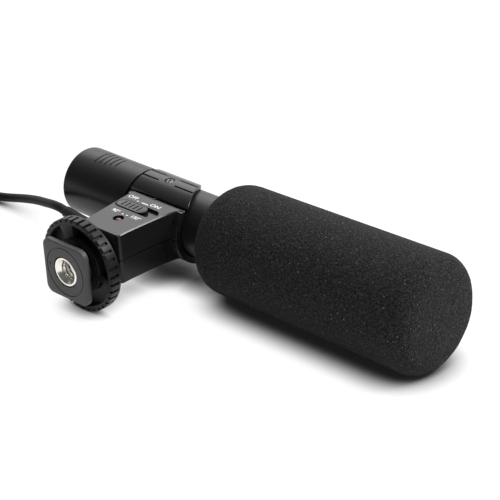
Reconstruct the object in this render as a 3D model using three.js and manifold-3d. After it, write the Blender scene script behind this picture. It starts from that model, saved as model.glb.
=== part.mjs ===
// A small shotgun microphone for the top of a camera, with its foam windshield and its lead.
// Millimetres, +Z up. The microphone lies on its foam and on its lock wheel, with the tube along X,
// the foam towards +X and the arm with the camera foot towards -Y.
import * as THREE from "three";
import Module from "manifold-3d";
import { mergeVertices, toCreasedNormals } from "three/addons/utils/BufferGeometryUtils.js";

const wasm = await Module();
wasm.setup();

// Clearances and tools
const fit = 0.3; // gap between two pieces that seat on or slide in each other
const overrun = 3; // how far a cutting tool reaches past what it cuts
const weld = 0.0005; // corners nearer than this are one corner
const creaseAngle = Math.PI / 6;

// Facets of round pieces
const tubeSides = 48;
const ringSides = 32;
const pinSides = 20;
const arcSteps = 6;
const cornerSteps = 4;
const slotSteps = 3;
const recessSteps = 8;

// Foam windshield. Places along the tube are measured from the middle of the arm, forwards.
const foamRadius = 18.35;
const foamRear = 20.9;
const foamRearRound = 9;
const foamFrontRound = 6.2;
const foamCrown = 0.8;
const foamNose = 6.7; // foam in front of the barrel's cap
const foamFrontTurn = 84; // degrees that the front's round turns before the crown begins
const foamCrownShares = { radius: 0.35, drop: 0.25 }; // a point on the crown

// Barrel
const barrelRadius = 10.3;
const barrelWall = 1.9;
const barrelRear = -13.5;
const barrelFront = 97;
const spigotLength = 7.5;
const spigotStep = 0.9; // how much smaller than the barrel the spigot is
const portLength = 14;
const portWidth = 2;
const portRows = 3;
const portsAround = 6;
const portsFrom = 30;
const portPitch = 19;

// Cap and capsules at the front of the barrel
const capFlange = 1.5;
const capPlug = 3;
const capSlotWidth = 1.6;
const capSlotPitch = 4;
const capSlotLength = 10;
const capSlotRoundShare = 0.49; // of the slot's width
const holderLength = 8;
const holderSetback = 7; // from the holder's front face to the barrel's front
const capsuleRadius = 3;
const capsuleLength = 5.4;
const capsuleOffset = 4.2;

// Tail sleeve that covers the battery
const sleeveRadius = 11.2;
const sleeveWall = 1.45;
const sleeveEndWall = 1.6;
const sleeveTail = -41.1;
const sleeveRound = 1.2;
const gripSlotWidth = 0.5;
const gripSlotDepth = 0.6;
const gripSlotPitch = 2.25;
const gripSlotFirst = 7.7; // from the tail to the first slot
const gripSlotHalfAngle = 19.7;
const gripSlotShares = [1, 0.92, 0.84, 0.69, 0.54];

// Battery and its holder
const cellRadius = 5.25;
const cellLength = 44.5;
const cellNubRadius = 2.6;
const cellNub = 1;
const troughWall = 1.2;
const troughRise = 2; // how far the trough's sides rise above the tube's axis
const springLength = 4;
const springRadius = 2.6;
const springWire = 0.5;
const springTurns = 3;
const springTurnSteps = 8;
const springSides = 5;
const contactThickness = 0.4;
const contactHalf = 3.2;
const contactCorner = 0.8;

// Arm between the tube and the camera foot. Places along the arm are measured from the tube's axis.
const armHalf = 8.41; // half the arm's height
const armStart = 7.8;
const armEnd = 32.5;
const armWideHalf = 11.4; // half width at the tube
const armNarrowHalf = 7.87; // half width at the foot
const armWall = 1.6;
const armCorner = 1.6;
const armEdge = 0.5; // chamfer round the arm's top face
const armSeam = -0.47; // height of the joint between the two shells
const armCavityStart = 13;

// Cradle under the tube and saddle over it
const cradleRadius = 12.9;
const saddleRadius = 11.65;
const saddleNear = 7.3;
const saddleRear = -12.4;
const saddleFront = 12.3;
const saddleSweepFrom = 8; // the front edge sweeps back from here, along an arc
const saddleSweepRadius = 22;
const saddleGrooveWidth = 0.55;
const saddleGrooveDepth = 0.4;
const saddleGrooves = [
  // rear end, front end, degrees from the top towards the arm
  { rear: -13.1, front: -5.4, lean: -11 },
  { rear: -12.9, front: -5.2, lean: 8.5 },
  { rear: 0.5, front: 9, lean: -11 },
  { rear: 1.8, front: 10.8, lean: 8.5 },
];
const clampScrewAt = -1.9;
const clampHeadRadius = 1.35;
const clampHead = 0.5;
const clampSunk = 0.15; // how far the head's top lies below the saddle's
const clampShankRadius = 0.8;
const clampShank = 2.1;

// Screws that hold the two shells together
const shellScrewX = 7.9;
const shellScrewAt = 15;
const shellBossRadius = 1.9;
const shellSeatRadius = 2.3; // of the lower boss, which holds the screw's head
const shellHeadRadius = 1.6;
const shellHead = 1.2;
const shellShankRadius = 0.9;
const shellShankTop = 4.2;
const driveSlotWidth = 0.5;
const driveSlotDepth = 0.4;

// Slide switch
const knobLength = 11.8;
const knobWidth = 4.2;
const knobCentre = -3.1;
const knobAt = 15.8;
const knobTravel = 4.4;
const knobProud = 0.3; // how far the knob stands above the arm's face
const recessDepth = 0.9;
const recessMargin = 0.6; // room behind the knob at either end of its travel
const knobGrooves = 5;
const knobGroovePitch = 1.75;
const knobGrooveWidth = 0.55;
const knobGrooveDepth = 0.35;
const knobGrooveLength = 2.9;
const stemLength = 2.2;
const stemWidth = 1.4;
const stemDrop = 2.8; // from the recess's floor to the end of the knob's stem
const switchMargin = 1.1; // body of the switch round the stem's slot
const switchHeight = 4.7;
const switchWidth = 4;

// Circuit board and power lamp
const boardThickness = 1.2;
const boardRear = -4.6;
const boardFront = 4.4;
const boardStart = 13.3;
const boardEnd = 25.3;
const lampRadius = 1.5;
const lampX = -0.8;
const lampAt = 23.8;
const lampRecess = 0.5; // how far the lamp's top lies below the arm's face
const lampDomeShares = [
  // radius and drop from the top, of the lamp's radius
  [1, 0.6],
  [0.8, 0.24],
  [0.45, 0.06],
];

// Camera foot
const footWidth = 18.6;
const footHeight = 18.75;
const footThickness = 2;
const footCorner = 2.8;
const footFace = 47.7;
const postRadius = 6;
const neckRadius = 4.8;
const flangeRadius = 5.9;
const flangeThickness = 2.1;
const insertRadius = 4.75;
const insertLength = 7.5;
const insertBore = 2.7;
const insertMouth = 3.65;
const insertMouthDepth = 1;
const insertSunk = 0.1;

// Lock wheel and its washer
const wheelRadius = 15.2;
const wheelLipRadius = 15;
const wheelRimInner = 13.4;
const wheelBack = 38.6;
const wheelFront = 42.6;
const wheelLip = 0.8;
const wheelWeb = 1.6;
const wheelHubRadius = 9;
const wheelHubDrop = 0.6; // how far the hub's face lies behind the rim's
const wheelTeeth = 36;
const wheelToothShare = 0.75; // of the pitch
const wheelGroove = 0.6;
const wheelGrooveDegrees = 3; // direction of the first groove
const spokes = [
  // degrees, width at the hub, width at the rim
  { lean: 110, hubWidth: 3.4, rimWidth: 6.6 },
  { lean: 230, hubWidth: 2, rimWidth: 2 },
  { lean: 350, hubWidth: 2, rimWidth: 2 },
];
const spokeRootShare = 0.9; // of the hub's radius, where a spoke starts
const washerRadius = 8.8;
const washerThickness = 0.45;

// Strain relief of the lead, in the arm's rear side
const reliefAt = 23.5;
const reliefYaw = 10; // degrees towards the tube
const reliefRootRadius = 2.4;
const reliefTipRadius = 1.85;
const reliefLength = 22;
const reliefFlangeRadius = 2.9;
const reliefFlange = 0.8;
const reliefInside = 3.7; // from the arm's face inwards to the flange's back

// Lead
const leadRadius = 1.5;
const leadSides = 8;
// Free stretch, as it lies: from the strain relief's tip down to the table and into the coil.
// These points are on the lead's centre line, measured from the tube's axis and the table.
const leadRoute = [
  [-31.12, -19.54, 16.39],
  [-34.07, -19.02, 16.43],
  [-37.8, -18.05, 15.85],
  [-42.2, -16.3, 14.5],
  [-47.2, -14.3, 12.85],
  [-52.3, -12.3, 11.2],
  [-57.4, -10.4, 9.45],
  [-62.5, -8.7, 7.65],
  [-67.6, -7.35, 5.9],
  [-72.5, -6.5, 4.3],
  [-77.2, -6.2, 3.0],
  [-81.6, -6.4, 2.15],
  [-85.6, -6.95, 1.7],
  [-88.9, -7.5, 1.53],
  [-91.7, -7.8, 1.5],
  [-94.7, -7.8, 1.5],
];
const leadSteps = 24;
const leadSamples = 200; // for its printed length

// Coil
const coilCentre = [-98.2, -26];
const coilRadius = 18.2; // centre line of the outer turn
const coilPitch = 3.6;
const coilLayer = 3.5;
const coilFlatTurns = 1.5; // in each of the two layers
const coilClimbTurns = 0.5;
const coilTurnSteps = 24;
const coilNeighbourShare = 1 / 3; // of a turn, over which the coil is its own neighbour
const coilSides = 6;
const coilExit = 16; // from the end of the last turn to the plug
const coilExitSteps = 6;
const coilEnd = 3.2; // straight length at either end

// Plug
const plugGripRadius = 3.5;
const plugGripTipRadius = 2.6;
const plugGripLength = 20;
const plugTaperShare = 0.3; // of the grip's length
const plugPinRadius = 1.75;
const plugPinLength = 14;
const plugSocket = 3;
const plugGrooveRadius = 1.45;
const plugGroove = 0.5;
const plugRings = [3.9, 7]; // insulating rings, from the grip
const plugTipShares = [
  // radius and distance from the tip, of the pin's radius
  [1, 2.1],
  [0.72, 1.7],
  [1, 1.2],
  [0.3, 0],
];

// Sizes that follow from the ones above
const radians = Math.PI / 180;
const boreRadius = barrelRadius - barrelWall;
const tubeSeat = barrelRadius + fit;
const spigotRadius = barrelRadius - spigotStep;
const sleeveInner = sleeveRadius - sleeveWall;
const sleeveMouth = barrelRear - fit;
const capFront = barrelFront + fit + capFlange;
const foamFront = capFront + fit + foamNose;
const trough = boreRadius - fit;
const troughRear = sleeveTail + sleeveEndWall + fit * 2;
const springRear = troughRear + troughWall + fit;
const cellRear = springRear + springLength + fit;
const contactRear = cellRear + cellLength + fit;
const troughFront = contactRear + contactThickness + fit + troughWall;
const holderFront = barrelFront - holderSetback;
const armTaper = (armWideHalf - armNarrowHalf) / (armEnd - armStart);
const armCavityTop = armHalf - armWall;
const upperBottom = armSeam + fit / 2;
const lowerTop = armSeam - fit / 2;
const recessFloor = armHalf - recessDepth;
const stemEnd = recessFloor - stemDrop;
const switchTop = armCavityTop - fit;
const switchBottom = switchTop - switchHeight;
const boardTop = switchBottom - fit;
const footBack = footFace - footThickness;
const footSocket = insertLength + insertSunk + fit;
const wheelBore = (postRadius + fit) / Math.cos(Math.PI / ringSides);
const hubFace = wheelFront - wheelHubDrop;
const foamHeight = foamRadius * Math.cos(Math.PI / tubeSides); // the flat facet lies on the table

// Half the arm's width at a distance from the tube's axis.
const armHalfAt = (along) => armWideHalf - (along - armStart) * armTaper;

// The arm leans so that the wheel's front edge and the foam reach the table together:
// wheelFront * sin(lean) + wheelRadius * cos(lean) = foamHeight.
const armLean =
  Math.asin(foamHeight / Math.hypot(wheelFront, wheelRadius)) - Math.atan2(wheelRadius, wheelFront);

// Materials
const finish = (color, roughness, metalness) => () =>
  new THREE.MeshStandardMaterial({ color, roughness, metalness });
const foamCloth = finish(0x17171a, 1, 0);
const blackShell = finish(0x1b1b1d, 0.5, 0);
const blackPaint = finish(0x141416, 0.45, 0.2);
const blackPart = finish(0x101012, 0.6, 0);
const blackRubber = finish(0x0d0d0e, 0.75, 0);
const brightSteel = finish(0xb9bcc0, 0.3, 1);
const nickel = finish(0xe6e3dc, 0.22, 1);
const redLens = finish(0x8c2030, 0.15, 0);
const greenBoard = finish(0x1d5a34, 0.6, 0);
const cellWrap = finish(0x8d9296, 0.4, 0.8);

// Solids: a closed geometry becomes a body that can be cut and joined, and turns back into a geometry.
function solid(geometry) {
  const plain = geometry.index ? geometry.toNonIndexed() : geometry.clone();
  plain.deleteAttribute("normal");
  plain.deleteAttribute("uv");
  const merged = mergeVertices(plain, weld);
  const corners = merged.index.array;
  const faces = [];
  for (let i = 0; i < corners.length; i += 3) {
    const [a, b, c] = [corners[i], corners[i + 1], corners[i + 2]];
    if (a !== b && b !== c && c !== a) faces.push(a, b, c);
  }
  const vertProperties = merged.attributes.position.array;
  return new wasm.Manifold(
    new wasm.Mesh({ numProp: 3, vertProperties, triVerts: new Uint32Array(faces) }),
  );
}

function geometryOf(body) {
  const { vertProperties, triVerts, numProp } = body.getMesh();
  const geometry = new THREE.BufferGeometry();
  geometry.setAttribute("position", new THREE.BufferAttribute(vertProperties, numProp));
  geometry.setIndex(new THREE.BufferAttribute(triVerts, 1));
  return geometry;
}

const joined = (first, ...others) => others.reduce((body, other) => body.add(other), first);
const cut = (first, ...tools) => tools.reduce((body, tool) => body.subtract(tool), first);

// A revolved geometry about +Y, from [radius, height] points in either order.
function revolved(points, sides) {
  const profile = points.map(([radius, height]) => new THREE.Vector2(radius, height));
  if (THREE.ShapeUtils.area(profile) < 0) profile.reverse();
  return new THREE.LatheGeometry(profile, sides);
}

const alongTube = (geometry) => geometry.rotateZ(-Math.PI / 2);
const alongArm = (geometry) => geometry.rotateX(Math.PI);
const upright = (geometry) => geometry.rotateX(Math.PI / 2);

const discPoints = (radius, from, to) => [
  [0, from],
  [radius, from],
  [radius, to],
  [0, to],
];
const ringPoints = (inner, outer, from, to) => [
  [inner, from],
  [outer, from],
  [outer, to],
  [inner, to],
  [inner, from],
];
const disc = (radius, from, to, sides) => revolved(discPoints(radius, from, to), sides);
const ring = (inner, outer, from, to, sides) =>
  revolved(ringPoints(inner, outer, from, to), sides);

// A block between two corners given as [x, along the arm, up].
function block(low, high) {
  const [width, along, height] = high.map((value, i) => value - low[i]);
  const box = new THREE.BoxGeometry(width, along, height);
  return box.translate(low[0] + width / 2, -(low[1] + along / 2), low[2] + height / 2);
}

// A prism of a shape, standing up from one height to another.
function prism(shape, from, to, curveSegments = arcSteps) {
  const depth = to - from;
  return new THREE.ExtrudeGeometry(shape, { depth, bevelEnabled: false, curveSegments }).translate(
    0,
    0,
    from,
  );
}

// The same, lying along the arm or along the tube.
const prismAlongArm = (shape, from, to, segments) =>
  prism(shape, from, to, segments).rotateX(Math.PI / 2);
const prismAlongTube = (shape, from, to, segments) =>
  prism(shape, from, to, segments).rotateX(Math.PI / 2).rotateZ(Math.PI / 2);

function roundedRectangle(halfWidth, halfHeight, radius) {
  const shape = new THREE.Shape();
  const [w, h] = [halfWidth - radius, halfHeight - radius];
  shape.absarc(w, h, radius, 0, Math.PI / 2);
  shape.absarc(-w, h, radius, Math.PI / 2, Math.PI);
  shape.absarc(-w, -h, radius, Math.PI, Math.PI * 1.5);
  shape.absarc(w, -h, radius, Math.PI * 1.5, Math.PI * 2);
  return shape;
}

// A slot outline with round ends, from x = rear to x = front on a line y.
function slotShape(rear, front, y, halfWidth) {
  const shape = new THREE.Shape();
  shape.absarc(front - halfWidth, y, halfWidth, -Math.PI / 2, Math.PI / 2);
  shape.absarc(rear + halfWidth, y, halfWidth, Math.PI / 2, Math.PI * 1.5);
  return shape;
}

// Part of a ring, in degrees from the top towards the arm.
function sector(inner, outer, from, to) {
  const shape = new THREE.Shape();
  const angle = (degrees) => Math.PI / 2 + degrees * radians;
  shape.absarc(0, 0, outer, angle(from), angle(to), false);
  shape.absarc(0, 0, inner, angle(to), angle(from), true);
  return shape;
}

// A round fillet in a profile, from one direction to another in degrees.
function filletPoints(radius, centre, from, to, steps = arcSteps) {
  return Array.from({ length: steps + 1 }, (_, i) => {
    const angle = (from + ((to - from) * i) / steps) * radians;
    return [centre[0] + radius * Math.cos(angle), centre[1] + radius * Math.sin(angle)];
  });
}

function mesh(name, geometry, material) {
  const item = new THREE.Mesh(toCreasedNormals(geometry, creaseAngle), material());
  item.name = name;
  return item;
}

// Foam: a thick sock of foam with a round rear edge, a rounder front and a bore for the barrel.
function foamWindshield() {
  const bore = tubeSeat / Math.cos(Math.PI / tubeSides);
  const boreEnd = capFront + fit;
  const rearCentre = [foamRadius - foamRearRound, foamRear + foamRearRound];
  const frontCentre = [
    foamRadius - foamFrontRound,
    foamFront - foamCrown - foamFrontRound,
  ];
  const profile = [
    [0, boreEnd],
    [bore, boreEnd],
    [bore, foamRear],
    ...filletPoints(foamRearRound, rearCentre, -90, 0),
    ...filletPoints(foamFrontRound, frontCentre, 0, foamFrontTurn),
    [foamRadius * foamCrownShares.radius, foamFront - foamCrown * foamCrownShares.drop],
    [0, foamFront],
  ];
  return alongTube(revolved(profile, tubeSides)).rotateX(Math.PI / tubeSides);
}

// Barrel: a tube with a smaller spigot at the rear and sound ports under the foam.
function barrel() {
  const profile = [
    [boreRadius, barrelRear - spigotLength],
    [spigotRadius, barrelRear - spigotLength],
    [spigotRadius, barrelRear],
    [barrelRadius, barrelRear],
    [barrelRadius, barrelFront],
    [boreRadius, barrelFront],
    [boreRadius, barrelRear - spigotLength],
  ];
  const ports = [];
  for (let row = 0; row < portRows; row += 1) {
    for (let i = 0; i < portsAround / 2; i += 1) {
      const rear = portsFrom + row * portPitch;
      const outline = slotShape(rear, rear + portLength, 0, portWidth / 2);
      const reach = barrelRadius + overrun;
      const port = prism(outline, -reach, reach, slotSteps);
      ports.push(solid(port.rotateX((i * Math.PI * 2) / portsAround)));
    }
  }
  const screwHole = solid(
    upright(disc(clampShankRadius + fit, 0, barrelRadius + overrun, pinSides)),
  ).translate([clampScrewAt, 0, 0]);
  return cut(solid(alongTube(revolved(profile, tubeSides))), ...ports, screwHole);
}

// Cap: a flange on the barrel's end and a plug in its bore, with three sound slots.
function frontCap() {
  const body = joined(
    solid(alongTube(disc(barrelRadius, barrelFront + fit, capFront, tubeSides))),
    solid(alongTube(disc(boreRadius - fit, barrelFront - capPlug, capFront, tubeSides))),
  );
  const slots = [-1, 0, 1].map((side) => {
    const corner = capSlotWidth * capSlotRoundShare;
    const shape = roundedRectangle(capSlotWidth / 2, capSlotLength / 2, corner);
    const from = barrelFront - capPlug - overrun;
    return solid(prismAlongTube(shape, from, capFront + overrun, slotSteps)).translate([
      0,
      side * capSlotPitch,
      0,
    ]);
  });
  return cut(body, ...slots);
}

// Rubber holder with a pocket for each of the two capsules.
function capsuleHolder() {
  const rear = holderFront - holderLength;
  const pocketFloor = holderFront - capsuleLength - fit;
  const pocket = () =>
    solid(alongTube(disc(capsuleRadius + fit, pocketFloor, holderFront + overrun, ringSides)));
  return cut(
    solid(alongTube(disc(boreRadius - fit, rear, holderFront, ringSides))),
    pocket().translate([0, capsuleOffset, 0]),
    pocket().translate([0, -capsuleOffset, 0]),
  );
}

const capsule = () =>
  alongTube(disc(capsuleRadius, holderFront - capsuleLength, holderFront, pinSides));

// Tail sleeve: a cup over the battery that slides off to the rear, with five grip slots on top.
function tailSleeve() {
  const centre = [sleeveRadius - sleeveRound, sleeveTail + sleeveRound];
  const profile = [
    [0, sleeveTail],
    ...filletPoints(sleeveRound, centre, -90, 0, cornerSteps),
    [sleeveRadius, sleeveMouth],
    [sleeveInner, sleeveMouth],
    [sleeveInner, sleeveTail + sleeveEndWall],
    [0, sleeveTail + sleeveEndWall],
  ];
  const slots = gripSlotShares.map((share, i) => {
    const middle = sleeveTail + gripSlotFirst + i * gripSlotPitch;
    const half = gripSlotHalfAngle * share;
    const shape = sector(sleeveRadius - gripSlotDepth, sleeveRadius + overrun, -half, half);
    const [from, to] = [middle - gripSlotWidth / 2, middle + gripSlotWidth / 2];
    return solid(prismAlongTube(shape, from, to, recessSteps));
  });
  return cut(solid(alongTube(revolved(profile, tubeSides))), ...slots);
}

// Battery holder: a trough with an end wall at each end, inside the sleeve and the barrel.
function batteryHolder() {
  const outer = solid(alongTube(disc(trough, troughRear, troughFront, ringSides)));
  const channelRadius = cellRadius + fit;
  const channelRear = troughRear + troughWall;
  const channelFront = troughFront - troughWall;
  const round = solid(alongTube(disc(channelRadius, channelRear, channelFront, ringSides)));
  const open = solid(
    block([channelRear, -channelRadius, 0], [channelFront, channelRadius, trough + overrun]),
  );
  const reach = trough + overrun;
  const above = solid(
    block([troughRear - overrun, -reach, troughRise], [troughFront + overrun, reach, reach]),
  );
  return cut(outer, round, open, above);
}

function batteryCell() {
  const shoulder = cellRear + cellLength - cellNub;
  return alongTube(
    revolved(
      [
        [0, cellRear],
        [cellRadius, cellRear],
        [cellRadius, shoulder],
        [cellNubRadius, shoulder],
        [cellNubRadius, shoulder + cellNub],
        [0, shoulder + cellNub],
      ],
      ringSides,
    ),
  );
}

function contactPlate() {
  const shape = roundedRectangle(contactHalf, contactHalf, contactCorner);
  return prismAlongTube(shape, contactRear, contactRear + contactThickness, slotSteps);
}

// A tube through a list of centre points, each ring square to the path and level with the table.
function tubeThrough(points, radius, sides, up = new THREE.Vector3(0, 0, 1)) {
  const rings = points.map((point, i) => {
    const before = points[Math.max(i - 1, 0)];
    const after = points[Math.min(i + 1, points.length - 1)];
    const ahead = after.clone().sub(before).normalize();
    const side = new THREE.Vector3().crossVectors(ahead, up).normalize();
    const top = new THREE.Vector3().crossVectors(side, ahead);
    return Array.from({ length: sides }, (_, k) => {
      const angle = (k / sides) * Math.PI * 2;
      return point
        .clone()
        .addScaledVector(top, radius * Math.cos(angle))
        .addScaledVector(side, radius * Math.sin(angle));
    });
  });
  const corners = rings.flat();
  const faces = [];
  for (let i = 0; i + 1 < rings.length; i += 1) {
    for (let k = 0; k < sides; k += 1) {
      const [a, b] = [i * sides + k, i * sides + ((k + 1) % sides)];
      faces.push(a, b, b + sides, a, b + sides, a + sides);
    }
  }
  const last = (rings.length - 1) * sides;
  for (let k = 1; k + 1 < sides; k += 1) {
    faces.push(0, k + 1, k, last, last + k, last + k + 1);
  }
  const geometry = new THREE.BufferGeometry().setFromPoints(corners);
  geometry.setIndex(faces);
  return geometry;
}

// Spring at the battery's rear end.
function contactSpring() {
  const steps = springTurns * springTurnSteps;
  const rise = springLength - springWire;
  const points = Array.from({ length: steps + 1 }, (_, i) => {
    const angle = (i / springTurnSteps) * Math.PI * 2;
    const x = springRear + springWire / 2 + (rise * i) / steps;
    return new THREE.Vector3(x, springRadius * Math.cos(angle), springRadius * Math.sin(angle));
  });
  return tubeThrough(points, springWire / 2, springSides, new THREE.Vector3(1, 0, 0));
}

// Outline of the arm from above, drawn in by an inset, with round corners at the foot.
function armOutline(start, end, inset, corner) {
  const shape = new THREE.Shape();
  const half = (along) => armHalfAt(along) - inset;
  shape.moveTo(-half(start), -start);
  shape.lineTo(-half(end - corner), -(end - corner));
  shape.quadraticCurveTo(-half(end), -end, -half(end) + corner, -end);
  shape.lineTo(half(end) - corner, -end);
  shape.quadraticCurveTo(half(end), -end, half(end - corner), -(end - corner));
  shape.lineTo(half(start), -start);
  return shape;
}

// A solid between outlines of equally many points, each given with its height, from the lowest up.
function lofted(levels) {
  const count = levels[0].outline.length;
  const corners = levels.flatMap(({ outline, height }) =>
    outline.map((point) => new THREE.Vector3(point.x, point.y, height)),
  );
  const faces = [];
  for (let level = 0; level + 1 < levels.length; level += 1) {
    for (let i = 0; i < count; i += 1) {
      const [a, b] = [level * count + i, level * count + ((i + 1) % count)];
      faces.push(a, b, b + count, a, b + count, a + count);
    }
  }
  const last = (levels.length - 1) * count;
  for (const [a, b, c] of THREE.ShapeUtils.triangulateShape(levels[0].outline, [])) {
    faces.push(a, c, b);
  }
  for (const [a, b, c] of THREE.ShapeUtils.triangulateShape(levels.at(-1).outline, [])) {
    faces.push(a + last, b + last, c + last);
  }
  const geometry = new THREE.BufferGeometry().setFromPoints(corners);
  geometry.setIndex(faces);
  return geometry;
}

// Solid arm, before it is hollowed: its outer face, given last or first, has chamfered edges.
function armBlock(start, seam, face) {
  const full = armOutline(start, armEnd, 0, armCorner).getPoints(arcSteps);
  const drawnIn = armOutline(start, armEnd - armEdge, armEdge, armCorner - armEdge);
  const small = drawnIn.getPoints(arcSteps);
  const inwards = Math.sign(seam - face) * armEdge;
  const levels = [
    { outline: full, height: seam },
    { outline: full, height: face + inwards },
    { outline: small, height: face },
  ];
  return solid(lofted(face > seam ? levels : levels.reverse()));
}

const tubeTool = () =>
  solid(
    alongTube(
      disc(
        tubeSeat / Math.cos(Math.PI / tubeSides),
        -armWideHalf * 2,
        armWideHalf * 2,
        tubeSides,
      ),
    ),
  );
const neckTool = () =>
  solid(
    alongArm(disc(neckRadius + fit, armEnd - armWall - overrun, armEnd + overrun, ringSides)),
  );

function armCavity(bottom, top) {
  return solid(prism(armOutline(armCavityStart, armEnd - armWall, armWall, armEdge), bottom, top));
}

// The strain relief's line: where it leaves the arm's rear face, and its direction.
const reliefFace = new THREE.Vector3(-armHalfAt(reliefAt), -reliefAt, armSeam);
function placeOnRelief(geometry) {
  return geometry
    .rotateZ(Math.PI / 2)
    .rotateZ(-reliefYaw * radians)
    .translate(reliefFace.x, reliefFace.y, reliefFace.z);
}
const reliefTool = () =>
  solid(placeOnRelief(disc(reliefRootRadius + fit, -armWall * 2, overrun, pinSides)));

function bossTool(radius, side, from, to) {
  return solid(upright(disc(radius, from, to, pinSides))).translate([
    side * shellScrewX,
    -shellScrewAt,
    0,
  ]);
}

const recessRear = knobCentre - knobLength / 2 - recessMargin + fit;
const recessFront = knobCentre + knobLength / 2 + knobTravel + fit;
const stemRear = knobCentre - stemLength / 2;
const stemFront = knobCentre + stemLength / 2;

// A slot for the knob's stem, over the stem's whole travel.
const stemTool = (from, to) =>
  solid(
    block(
      [stemRear - fit, knobAt - stemWidth / 2 - fit, from],
      [stemFront + knobTravel + fit, knobAt + stemWidth / 2 + fit, to],
    ),
  );

// Upper shell: the face with the switch, the lamp and the marks.
function armUpper() {
  const body = cut(armBlock(armStart, upperBottom, armHalf), tubeTool());
  const hollow = cut(body, armCavity(upperBottom - overrun, armCavityTop));
  const bosses = [-1, 1].map((side) =>
    bossTool(shellBossRadius, side, shellShankTop - overrun, armCavityTop + armWall / 2),
  );
  const holes = [-1, 1].map((side) =>
    bossTool(shellShankRadius + fit, side, -armHalf, shellShankTop + fit),
  );
  const recess = solid(
    prism(
      slotShape(recessRear, recessFront, -knobAt, knobWidth / 2 + fit),
      recessFloor,
      armHalf + overrun,
      recessSteps,
    ),
  );
  const lampHole = solid(
    upright(disc(lampRadius + fit, armCavityTop - overrun, armHalf + overrun, pinSides)),
  ).translate([lampX, -lampAt, 0]);
  return cut(
    joined(hollow, ...bosses),
    ...holes,
    recess,
    stemTool(armCavityTop - overrun, armHalf + overrun),
    lampHole,
    neckTool(),
    reliefTool(),
  );
}

// Lower shell: the other half of the arm and the cradle under the tube.
function armLower() {
  const reach = cradleRadius + overrun;
  const cradle = cut(
    solid(alongTube(disc(cradleRadius, -armWideHalf, armWideHalf, tubeSides))),
    solid(block([-reach, -reach, lowerTop], [reach, reach, reach])),
  );
  const body = cut(joined(armBlock(0, lowerTop, -armHalf), cradle), tubeTool());
  const hollow = cut(body, armCavity(armWall - armHalf, lowerTop + overrun));
  const bosses = [-1, 1].map((side) =>
    bossTool(shellSeatRadius, side, -armHalf + armWall / 2, lowerTop),
  );
  const holes = [-1, 1].flatMap((side) => [
    bossTool(shellShankRadius + fit, side, -armHalf - overrun, armHalf),
    bossTool(shellHeadRadius + fit, side, -armHalf - overrun, -armHalf + shellHead + fit),
  ]);
  return cut(joined(hollow, ...bosses), ...holes, neckTool(), reliefTool());
}

// Plan of the saddle: straight behind, swept back along an arc at the front.
function saddlePlan() {
  const shape = new THREE.Shape();
  const far = saddleRadius + fit;
  const steps = arcSteps * 2;
  const centreX = saddleFront - saddleSweepRadius;
  shape.moveTo(saddleRear, far);
  shape.lineTo(saddleRear, -saddleNear);
  for (let i = 0; i <= steps; i += 1) {
    const along = saddleNear - ((saddleNear + far) * i) / steps;
    const drop = saddleSweepFrom - along;
    shape.lineTo(centreX + Math.sqrt(Math.max(saddleSweepRadius ** 2 - drop ** 2, 0)), -along);
  }
  return shape;
}

// Saddle: the cover over the tube, with four grooves and a sunk screw.
function saddleCover() {
  const inner = tubeSeat / Math.cos(Math.PI / tubeSides);
  const length = saddleFront - saddleRear;
  const shell = solid(
    alongTube(ring(inner, saddleRadius, saddleRear, saddleRear + length, tubeSides)),
  );
  const plan = solid(prism(saddlePlan(), lowerTop + fit, saddleRadius + overrun));
  const grooves = saddleGrooves.map(({ rear, front, lean }) => {
    const half = saddleGrooveWidth / 2;
    const shape = slotShape(rear, front, 0, half);
    const floor = saddleRadius - saddleGrooveDepth;
    return solid(prism(shape, floor, saddleRadius + overrun, slotSteps).rotateX(lean * radians));
  });
  const seat = saddleRadius - clampSunk - clampHead - fit / 2;
  const head = solid(
    upright(disc(clampHeadRadius + fit, seat, saddleRadius + overrun, pinSides)),
  ).translate([clampScrewAt, 0, 0]);
  const hole = solid(
    upright(disc(clampShankRadius + fit, 0, saddleRadius + overrun, pinSides)),
  ).translate([clampScrewAt, 0, 0]);
  return cut(shell.intersect(plan), ...grooves, head, hole);
}

// A screw with a slotted head, standing on its shank's end at height 0.
function screw(headRadius, head, shankRadius, shank) {
  const body = solid(
    upright(
      revolved(
        [
          [0, 0],
          [shankRadius, 0],
          [shankRadius, shank],
          [headRadius, shank],
          [headRadius, shank + head],
          [0, shank + head],
        ],
        pinSides,
      ),
    ),
  );
  const reach = headRadius + overrun;
  const half = driveSlotWidth / 2;
  const floor = shank + head - driveSlotDepth;
  const top = shank + head + overrun;
  return cut(
    body,
    solid(block([-reach, -half, floor], [reach, half, top])),
    solid(block([-half, -reach, floor], [half, reach, top])),
  );
}

// Camera foot: the plate that slides into a camera's shoe, its post, neck and inner flange.
function shoeFoot() {
  const neckStart = armEnd - armWall - fit;
  const post = solid(
    alongArm(
      revolved(
        [
          [0, neckStart - flangeThickness],
          [flangeRadius, neckStart - flangeThickness],
          [flangeRadius, neckStart],
          [neckRadius, neckStart],
          [neckRadius, armEnd + fit],
          [postRadius, armEnd + fit],
          [postRadius, footBack + footThickness / 2],
          [0, footBack + footThickness / 2],
        ],
        ringSides,
      ),
    ),
  );
  const outline = roundedRectangle(footWidth / 2, footHeight / 2, footCorner);
  const plate = solid(prismAlongArm(outline, footBack, footFace, cornerSteps));
  const socket = solid(
    alongArm(
      disc(insertRadius + fit, footFace - footSocket, footFace + overrun, ringSides),
    ),
  );
  return cut(joined(post, plate), socket);
}

// Threaded insert, with a countersunk mouth.
function threadedInsert() {
  const face = footFace - insertSunk;
  return alongArm(
    revolved(
      [
        [insertBore, face - insertLength],
        [insertRadius, face - insertLength],
        [insertRadius, face],
        [insertMouth, face],
        [insertBore, face - insertMouthDepth],
        [insertBore, face - insertLength],
      ],
      ringSides,
    ),
  );
}

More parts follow.
